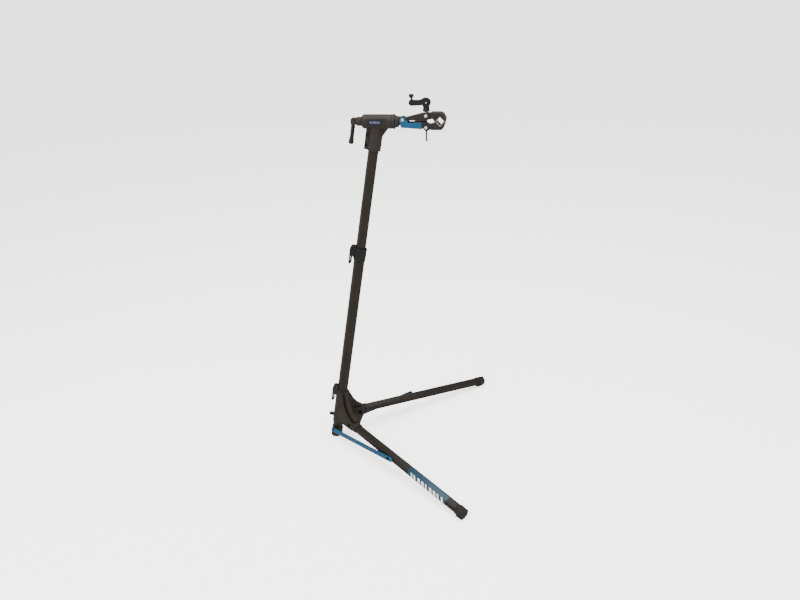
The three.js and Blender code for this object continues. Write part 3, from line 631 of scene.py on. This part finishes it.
def repeated(name, item, count, material, place, step=(0, 0, 0), radius=0.0):
    """Copies of an item in a row, or round z at the radius, as one finished piece."""
    holder = bpy.data.objects.new(f"{name}_maker", bpy.data.meshes.new(f"{name}_start"))
    bpy.context.scene.collection.objects.link(holder)
    tree = RING_TREE if radius else ROW_TREE
    modifier = holder.modifiers.new("repeat", "NODES")
    modifier.node_group = tree
    values = {"Item": item, "Count": count, "Step": step, "Radius": radius, "Material": material}
    for socket in tree.interface.items_tree:
        if socket.in_out == "INPUT":
            modifier[socket.identifier] = values[socket.name]
    depsgraph = bpy.context.evaluated_depsgraph_get()
    mesh = bpy.data.meshes.new_from_object(holder.evaluated_get(depsgraph))
    bpy.data.objects.remove(holder)
    bpy.data.objects.remove(item)
    mesh.transform(place)
    return finish_mesh(name, mesh, material)


# ---------------------------------------------------------------- fasteners
def socket_bolt(name, radius, height, shank, length, material, place):
    """A button-head bolt with a hexagon socket: head up z from its seat, shank below it."""
    key = radius * 0.42
    return turned(name, [
        (shank, -length + 0.4), (shank, 0), (radius * 0.96, 0), (radius, 0.15 * height),
        (radius, 0.35 * height), (radius * 0.93, 0.68 * height), (radius * 0.78, 0.9 * height),
        (radius * 0.6, height), (key * 1.18, height), (key, height - 0.25, 6),
        (key, height * 0.35, 6), (key * 0.5, height * 0.22, 6),
    ], material, place)


def hexagon_nut(name, flats, height, material, place):
    """A plain hexagon nut or bolt head with a chamfered crown."""
    half = flats / 2
    return turned(name, [
        (half, 0, 6), (half, height * 0.72, 6), (half * 0.98, height * 0.86, 6),
        (half * 0.92, height), (half * 0.45, height), (half * 0.42, height * 0.8),
    ], material, place)


# ---------------------------------------------------------------- mast, collars and levers
LOWER_TUBE = {"flats": 41, "wall": 1.6, "corner": 3}
UPPER_TUBE = {"flats": 37.2, "wall": 1.6, "corner": 2.6}
LEG_TUBE = {"flats": 36.5, "wall": 1.8, "corner": 3}


def span_along(node, place):
    """The lowest and highest reach of a node along a local frame's z, in millimetres."""
    inverse = place.inverted()
    heights = [(inverse @ vertex.co).z for vertex in NODES[node].data.vertices]
    return min(heights) / MM, max(heights) / MM


def mast_tubes():
    wanted = (("lower_tube", LOWER_TUBE, "mast"), ("upper_tube", UPPER_TUBE, "upper_mast"))
    for node, sizes, body in wanted:
        start, end = span_along(node, MAST)
        tube = hexagon_tube(f"{node}_finished", sizes["flats"], sizes["wall"], sizes["corner"],
                            start, end, mast_tube_black, MAST)
        attach(tube, body, "black_tube", node)


def cam_lever(prefix, body, joint):
    """A cam lever: its moulded blade, bright inlay and cross pin."""
    dress(body, "black_plastic", f"{prefix}_lever", plastic, 1.1 * MM, 3)
    dress(body, "lever_inlay", f"{prefix}_lever_inlay", polished, 0.7 * MM, 3)
    pivot = joint_pivot(joint)
    half = 12.3
    pin = turned(f"{prefix}_lever_pin_finished", [
        (2.2, -half), (2.8, -half + 0.5), (3, -half + 1.2), (3, half - 1.2), (2.8, half - 0.5),
        (2.2, half), (1.2, half), (1.0, half - 0.8),
    ], black_oxide, frame_at(pivot, Vector((1, 0, 0)), ACROSS_Y), sides=32)
    attach(pin, body, "black_steel", f"{prefix}_lever_pin")


def mast_pieces():
    mast_tubes()
    dress("mast", "rubber", "mast_foot", rubber, 1.0 * MM, 3)
    dress("mast", "black_casting", "base_bracket", cast_black, 0.7 * MM)
    dress("mast", "black_plastic", "mast_collar", plastic, 1.2 * MM, 3)
    dress("upper_mast", "black_plastic", "guide_plug", plastic, 0.5 * MM)
    cam_lever("mast", "mast_lever", "mast_lever_flip")
    cam_lever("collar", "collar_lever", "collar_lever_flip")


CHEEK_SEAT = 20.8 * MM  # from the middle of a leg's hinge to the seat of its bolt
PLUNGER_REACH = 14 * MM


def leg_collar_pieces():
    dress("leg_collar", "black_casting", "leg_collar", cast_black, 1.3 * MM, 3)
    for side, sign in SIDES.items():
        pivot = joint_pivot(f"{side}_leg_fold")
        axis = joint_axis(f"{side}_leg_fold")
        bolt_seat = frame_at(pivot + axis * sign * CHEEK_SEAT, MAST_Z, axis * sign)
        bolt = socket_bolt(f"{side}_leg_pivot_bolt_finished", 8, 3.6, 5, 44, black_oxide, bolt_seat)
        attach(bolt, "leg_collar", "black_steel", f"{side}_leg_pivot_bolt")
        nut_seat = frame_at(pivot - axis * sign * CHEEK_SEAT, MAST_Z, -axis * sign)
        nut = hexagon_nut(f"{side}_leg_pivot_nut", 13.6, 3.6, black_oxide, nut_seat)
        attach(nut, "leg_collar", "black_steel")
    stop_axis = -MAST_X
    stop = frame_at(middle("collar_plunger_knob") - stop_axis * PLUNGER_REACH / 2, ACROSS_Y, stop_axis)
    knob = turned("collar_plunger_knob_finished", [
        (6.8, 0), (7.6, 0.5), (8.1, 1.6), (8.2, 4.0), (6.6, 5.0), (6.6, 5.8), (8.0, 6.6),
        (8.1, 11.6), (7.4, 13.0), (6.0, 13.8), (3.0, 13.9), (1.0, 13.6),
    ], plastic, stop)
    attach(knob, "collar_plunger", "black_plastic", "collar_plunger_knob")
    side_x, tall = 0.45 * MM, 4.4 * MM
    flute = extruded("flute", [(-side_x, 0), (side_x, 0), (side_x, tall), (-side_x, tall)],
                     -0.5 * MM, 0.5 * MM, plastic, Matrix.Identity(4), 0.2 * MM, 1)
    flutes = repeated("collar_plunger_flutes", flute, 18, plastic,
                      stop @ Matrix.Translation((0, 0, 7 * MM)), radius=8.05 * MM)
    attach(flutes, "collar_plunger", "black_plastic")
    dress("collar_plunger", "bright_steel", "collar_plunger_pin", zinc, 0.4 * MM)


# ---------------------------------------------------------------- legs and struts
LABEL = {"start": 512, "end": 744, "thick": 0.35, "first_bar": 20, "last_bar": 16, "pitch": 24}


def leg_pieces(side):
    body = f"{side}_leg"
    place = LEGS[side]
    lying = place @ Matrix.Rotation(math.pi / 2, 4, "Y")
    low, high = span_along(f"{side}_leg_tube", lying)
    tube = hexagon_tube(f"{side}_leg_tube_finished", LEG_TUBE["flats"], LEG_TUBE["wall"],
                        LEG_TUBE["corner"], low, high, leg_tube_black[side], lying)
    attach(tube, body, "black_tube", f"{side}_leg_tube")
    dress(body, "black_casting", f"{side}_leg_bracket", cast_black, 1.0 * MM, 3)
    dress(body, "rubber", f"{side}_leg_cap", rubber, 2.2 * MM, 4)
    rib = hexagon_tube("rib", 41.2, 0.8, 4.2, -0.7, 0.7, rubber, Matrix.Identity(4), 0.3)
    ribs = repeated(f"{side}_leg_cap_ribs", rib, 3, rubber,
                    lying @ Matrix.Translation((0, 0, (high - 31) * MM)), step=(0, 0, 3.2 * MM))
    attach(ribs, body, "rubber")


def leg_label():
    """The printed band round the front leg, plain slanted bars in place of words."""
    place = LEGS["front"]
    lying = place @ Matrix.Rotation(math.pi / 2, 4, "Y")
    upward = place.col[2].to_3d()
    along = place.col[0].to_3d()
    level = place.translation.dot(upward)
    origin = place.translation.dot(along)
    printed = printed_band(
        "leg_band_print", along, (upward, level + 1.5 * MM, 9.5 * MM),
        rgb(6, 48, 64), rgb(196, 194, 192),
        origin + (LABEL["start"] + LABEL["first_bar"]) * MM,
        origin + (LABEL["end"] - LABEL["last_bar"]) * MM, (LABEL["pitch"] * MM, 0.62),
    )
    band = hexagon_tube(
        "front_leg_band", LEG_TUBE["flats"] + 2 * LABEL["thick"], LABEL["thick"] - 0.05,
        LEG_TUBE["corner"] + LABEL["thick"], LABEL["start"], LABEL["end"], printed, lying, 0.1,
    )
    attach(band, "front_leg", "plaque")


def strut_pieces(side, sign):
    place = STRUTS[side]
    inverse = place.inverted()
    points = [inverse @ vertex.co for vertex in NODES[f"{side}_strut"].data.vertices]
    half = max(point.z for point in points)
    tip = max(point.x for point in points) - half
    near, far = min(point.y for point in points), max(point.y for point in points)
    outline = arc(tip, 0, half, -90, 90) + arc(0, 0, half, 90, 270)
    bar = extruded(f"{side}_strut_finished", outline, near, far, strut_blue, place, 0.9 * MM)
    attach(bar, f"{side}_strut", "blue_arm", f"{side}_strut")
    face = max(abs(near), abs(far)) + 0.25 * MM
    lateral = place.col[1].to_3d()
    reach = (inverse @ middle(f"{side}_strut_outer_bolt")).x
    for label, x, body in (("base", 0, "mast"), ("outer", reach, f"{side}_strut")):
        seat = frame_at(place @ Vector((x, sign * face, 0)), place.col[0].to_3d(), lateral * sign)
        bolt = socket_bolt(f"{side}_strut_{label}_bolt_finished", 6.4, 3.4, 3.8, 10, black_oxide, seat)
        attach(bolt, body, "black_steel", f"{side}_strut_{label}_bolt")
    dress(f"{side}_strut", "black_plastic", f"{side}_strut_washer", plastic, 0.8 * MM)


# ---------------------------------------------------------------- head and its lock
LUG_SEAT = 8.3 * MM    # from the middle of the head's split lug to the seats of its bolts


def head_pieces():
    dress("upper_mast", "black_casting", "head_casting", cast_black, 1.5 * MM, 3)
    for index in (1, 2):
        centre = middle(f"socket_bolt_{index}")
        front = frame_at(centre - ACROSS_Y * LUG_SEAT, MAST_Z, -ACROSS_Y)
        bolt = socket_bolt(f"socket_bolt_{index}_finished", 5, 3.6, 2.6, 17, black_oxide, front)
        attach(bolt, "upper_mast", "black_steel", f"socket_bolt_{index}")
        rear = frame_at(centre + ACROSS_Y * LUG_SEAT, MAST_Z, ACROSS_Y)
        nut = hexagon_nut(f"socket_nut_{index}", 8.6, 3.6, black_oxide, rear)
        attach(nut, "upper_mast", "black_steel")
    dress("upper_mast", "bright_steel", "lock_stud", zinc, 0.4 * MM)
    dress("lock_handle", "black_casting", "lock_hub", cast_black, 1.2 * MM, 3)
    dress("lock_handle", "black_casting", "lock_handle", cast_black, 1.2 * MM, 3)
    plaque_pieces()
    grip_pieces()


def plaque_pieces():
    """The plate on the barrel: a dark field with one row of plain bars."""
    low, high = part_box("head_plaque")
    centre = (low + high) / 2
    printed = printed_band(
        "plaque_print", (1, 0, 0), ((0, 0, 1), centre.z + 1 * MM, 4 * MM),
        rgb(13, 16, 32), rgb(84, 88, 102), low.x + 12 * MM, high.x - 11 * MM, (6 * MM, 0.6),
    )
    dress("upper_mast", "plaque", "head_plaque", printed, 0.5 * MM)


HANDLE_TILT = math.radians(10)
HANDLE_BEHIND = 94 * MM  # from the middle of the head back to the handle


def grip_pieces():
    """The handle's moulded grip, with ridges round its waist."""
    top = HEAD @ Matrix.Translation((-HANDLE_BEHIND, 0, 0)) @ Matrix.Rotation(math.pi, 4, "X")
    place = top @ Matrix.Rotation(-HANDLE_TILT, 4, "Y")
    grip = turned("lock_grip_finished", [
        (6.6, 17), (8.2, 17), (8.9, 17.8), (9.0, 20), (8.6, 24), (8.1, 30), (7.9, 45), (8.0, 60),
        (8.8, 68), (10.0, 74), (10.7, 79), (10.7, 83), (9.8, 86.5), (8, 89), (4.6, 90.7), (1.0, 91),
    ], plastic, place)
    attach(grip, "lock_handle", "black_plastic", "lock_grip")
    ridge = turned("ridge", [
        (7.6, -0.7), (8.3, -0.45), (8.5, 0), (8.3, 0.45), (7.6, 0.7),
    ], plastic, Matrix.Identity(4))
    waist = place @ Matrix.Translation((0, 0, 32 * MM))
    ridges = repeated("lock_grip_ridges", ridge, 10, plastic, waist, step=(0, 0, 3.4 * MM))
    attach(ridges, "lock_handle", "black_plastic")


# ---------------------------------------------------------------- jaw
def shaft_pieces():
    shaft = turned("clamp_shaft_finished", [
        (12, -54), (19.4, -54), (19.8, -53.4), (19.8, 71.6), (23.4, 71.6), (24, 72.2), (24, 76.4),
        (23.2, 77.2), (21.8, 78.4), (21.5, 79.4), (21.5, 85.2), (20.8, 86), (12, 86),
    ], cast_black, BARREL, sides=64)
    attach(shaft, "clamp_body", "black_casting", "clamp_shaft")


MOUTH_HALF = 16 * MM   # from the middle of the jaws' mouth to a corner of its square
RIB = {"base": 0.5 * MM, "crest": 0.25 * MM, "root": -0.4 * MM, "top": 0.35 * MM, "length": 45 * MM}


def pad_ribs(name, body, direction):
    """Fine ribs across the grip faces of one liner."""
    low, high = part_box("upper_jaw_pad")
    x = (low.x + high.x) / 2
    mouth_z = (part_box("lower_jaw_pad")[1].z + low.z) / 2
    outline = [
        (-RIB["base"], RIB["root"]), (RIB["base"], RIB["root"]),
        (RIB["crest"], RIB["top"]), (-RIB["crest"], RIB["top"]),
    ]
    for label, sign in (("near", -1), ("far", 1)):
        slope = Vector((sign, 0, -direction)).normalized()
        rib = extruded("rib", outline, -RIB["length"] / 2, RIB["length"] / 2, liner,
                       Matrix.Identity(4), 0.15 * MM, 1)
        inward = Vector((-sign, 0, -direction)).normalized()
        apex = Vector((x, 0, mouth_z + direction * MOUTH_HALF))
        start = frame_at(apex + slope * 4 * MM + inward * 0.05 * MM, slope, inward)
        row = repeated(f"{name}_ribs_{label}", rib, 6, liner, start, step=(2.6 * MM, 0, 0))
        attach(row, body, "jaw_pad")


def jaw_pieces():
    shaft_pieces()
    dress("clamp_body", "black_casting", "upper_jaw", jaw_black, 1.4 * MM, 3)
    dress("lower_jaw", "black_casting", "lower_jaw", jaw_black, 1.4 * MM, 3)
    dress("lower_jaw", "blue_arm", "lower_arm", arm_blue, 0.8 * MM, 3)
    dress("clamp_body", "jaw_pad", "upper_jaw_pad", liner, 0.7 * MM)
    dress("lower_jaw", "jaw_pad", "lower_jaw_pad", liner, 0.7 * MM)
    pad_ribs("upper_pad", "clamp_body", 1)
    pad_ribs("lower_pad", "lower_jaw", -1)
    dress("spindle_swivel", "bright_steel", "upper_trunnion", rod_steel, 0.5 * MM)
    dress("jaw_nut_body", "brass", "jaw_nut", brass, 0.5 * MM)
    dress("spindle", "bright_steel", "cam_pivot_pin", zinc, 0.4 * MM)
    dress("cam_lever", "black_plastic", "crank_lever", plastic, 1.8 * MM, 4)
    jaw_bolts()
    rod_pieces()
    crank_knob()


JAW_SEAT = 19.3 * MM    # from the middle of the jaw to the seats of its hinge bolt
SCREW_HEAD = 2.9 * MM


def jaw_bolts():
    """The bright bolts across the jaw: a button head in front, a nut or head behind."""
    pivot = joint_pivot("jaw_open")
    for label, sign in SIDES.items():
        seat = frame_at(pivot + ACROSS_Y * sign * JAW_SEAT, Vector((1, 0, 0)), ACROSS_Y * sign)
        if sign < 0:
            bolt = socket_bolt("jaw_pivot_bolt_finished", 5.4, 2.6, 5, 38, zinc, seat)
            attach(bolt, "clamp_body", "bright_steel", "jaw_pivot_bolt")
        else:
            nut = hexagon_nut("jaw_pivot_nut", 10.7, 2.6, zinc, seat)
            attach(nut, "clamp_body", "bright_steel")
        screws = (("upper_trunnion_screw", "clamp_body"), ("lower_trunnion_screw", "lower_jaw"))
        for node, body in screws:
            centre = middle(f"{node}_{label}")
            low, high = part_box(f"{node}_{label}")
            centre.y = (low.y if sign < 0 else high.y) - sign * SCREW_HEAD
            seat = frame_at(centre, Vector((1, 0, 0)), ACROSS_Y * sign)
            screw = socket_bolt(f"{node}_{label}_finished", 6, 2.9, 5, 7, zinc, seat)
            attach(screw, body, "bright_steel", f"{node}_{label}")


def rod_pieces():
    """The rod with its eye, a rolled thread on its lower end, and the saddle under the crank."""
    low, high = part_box("clamp_rod")
    x = joint_pivot("crank_spin").x
    axis = Matrix.Translation((x, 0, 0))
    rod = turned("clamp_rod_finished", [
        (1.2, low.z / MM), (2.4, low.z / MM), (3.3, low.z / MM + 0.9), (3.3, low.z / MM + 70),
        (3.75, low.z / MM + 70.8), (3.75, high.z / MM - 11), (3.0, high.z / MM - 10),
    ], rod_steel, axis, sides=32)
    attach(rod, "spindle", "bright_steel", "clamp_rod")
    eye_pivot = joint_pivot("cam_flip")
    eye = turned("clamp_rod_eye", [
        (2.8, -3.3), (6.2, -3.3), (6.9, -2.6), (6.9, 2.6), (6.2, 3.3), (2.8, 3.3),
    ], rod_steel, frame_at(eye_pivot, Vector((1, 0, 0)), ACROSS_Y), sides=40)
    attach(eye, "spindle", "bright_steel")
    thread = turned("thread", [
        (3.1, -0.45), (3.45, -0.34), (3.78, -0.08), (3.78, 0.08), (3.45, 0.34), (3.1, 0.45),
    ], rod_steel, Matrix.Identity(4), sides=24)
    start = Matrix.Translation((x, 0, low.z + 1.6 * MM))
    threads = repeated("clamp_rod_thread", thread, 68, rod_steel, start, step=(0, 0, 1 * MM))
    attach(threads, "spindle", "bright_steel")
    dress("spindle", "black_plastic", "saddle_puck", plastic, 0.9 * MM, 3)


def crank_knob():
    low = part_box("crank_knob")[0]
    centre = middle("crank_knob")
    knob = turned("crank_knob_finished", [
        (1.5, 0), (2.9, 0.4), (2.9, 18.6), (4.9, 18.6), (5.2, 19.2), (4.7, 21), (5.0, 22.6),
        (7.2, 24.2), (9.4, 26), (10.4, 28.2), (10.4, 31), (9.4, 33.8), (7, 35.8), (4, 36.8), (1.0, 37),
    ], plastic, Matrix.Translation((centre.x, centre.y, low.z)), sides=48)
    attach(knob, "crank_knob_body", "black_plastic", "crank_knob")


# ---------------------------------------------------------------- floor and light
FLOOR_GLOW = 2.0
ROOM_GLOW = 0.7


def floor():
    finish = Finish("studio_floor")
    tone = finish.noise(1.6, detail=2)
    finish.set(
        base_color=finish.tint(tone, (0.93, 0.915, 0.895, 1), (0.95, 0.94, 0.925, 1)),
        roughness=0.7 + tone * 0.1,
        emission_color=(1, 0.98, 0.955, 1),
        emission_strength=FLOOR_GLOW,
    )
    ground = bmesh.new()
    bmesh.ops.create_grid(ground, x_segments=1, y_segments=1, size=120)
    mesh = bpy.data.meshes.new("studio_floor")
    ground.to_mesh(mesh)
    ground.free()
    mesh.materials.append(finish.material)
    plane = bpy.data.objects.new("studio_floor", mesh)
    plane.location.z = -0.0005
    plane.visible_glossy = False
    bpy.context.scene.collection.objects.link(plane)


def soft_light(name, position, aim, size, power):
    data = bpy.data.lights.new(name, "AREA")
    data.shape = "RECTANGLE"
    data.size, data.size_y = size
    data.energy = power
    lamp = bpy.data.objects.new(name, data)
    bpy.context.scene.collection.objects.link(lamp)
    lamp.location = position
    lamp.rotation_euler = (Vector(aim) - Vector(position)).to_track_quat("-Z", "Y").to_euler()


def light():
    world = bpy.data.worlds.new("studio")
    bpy.context.scene.world = world
    world.use_nodes = True
    room = world.node_tree.nodes["Background"]
    room.inputs["Color"].default_value = (1, 0.995, 0.985, 1)
    room.inputs["Strength"].default_value = ROOM_GLOW
    soft_light("overhead", (0.4, -0.4, 4.6), (0.3, 0, 0.4), (4.5, 4.5), 420)
    soft_light("left_side", (-2.6, -2.6, 2.4), (0.2, 0, 0.8), (1.6, 3.2), 130)
    soft_light("right_side", (2.8, -2.2, 2.4), (0.3, 0, 0.8), (1.4, 3.0), 60)


mast_pieces()
leg_collar_pieces()
for side_name, side_sign in SIDES.items():
    leg_pieces(side_name)
    strut_pieces(side_name, side_sign)
leg_label()
head_pieces()
jaw_pieces()
floor()
light()
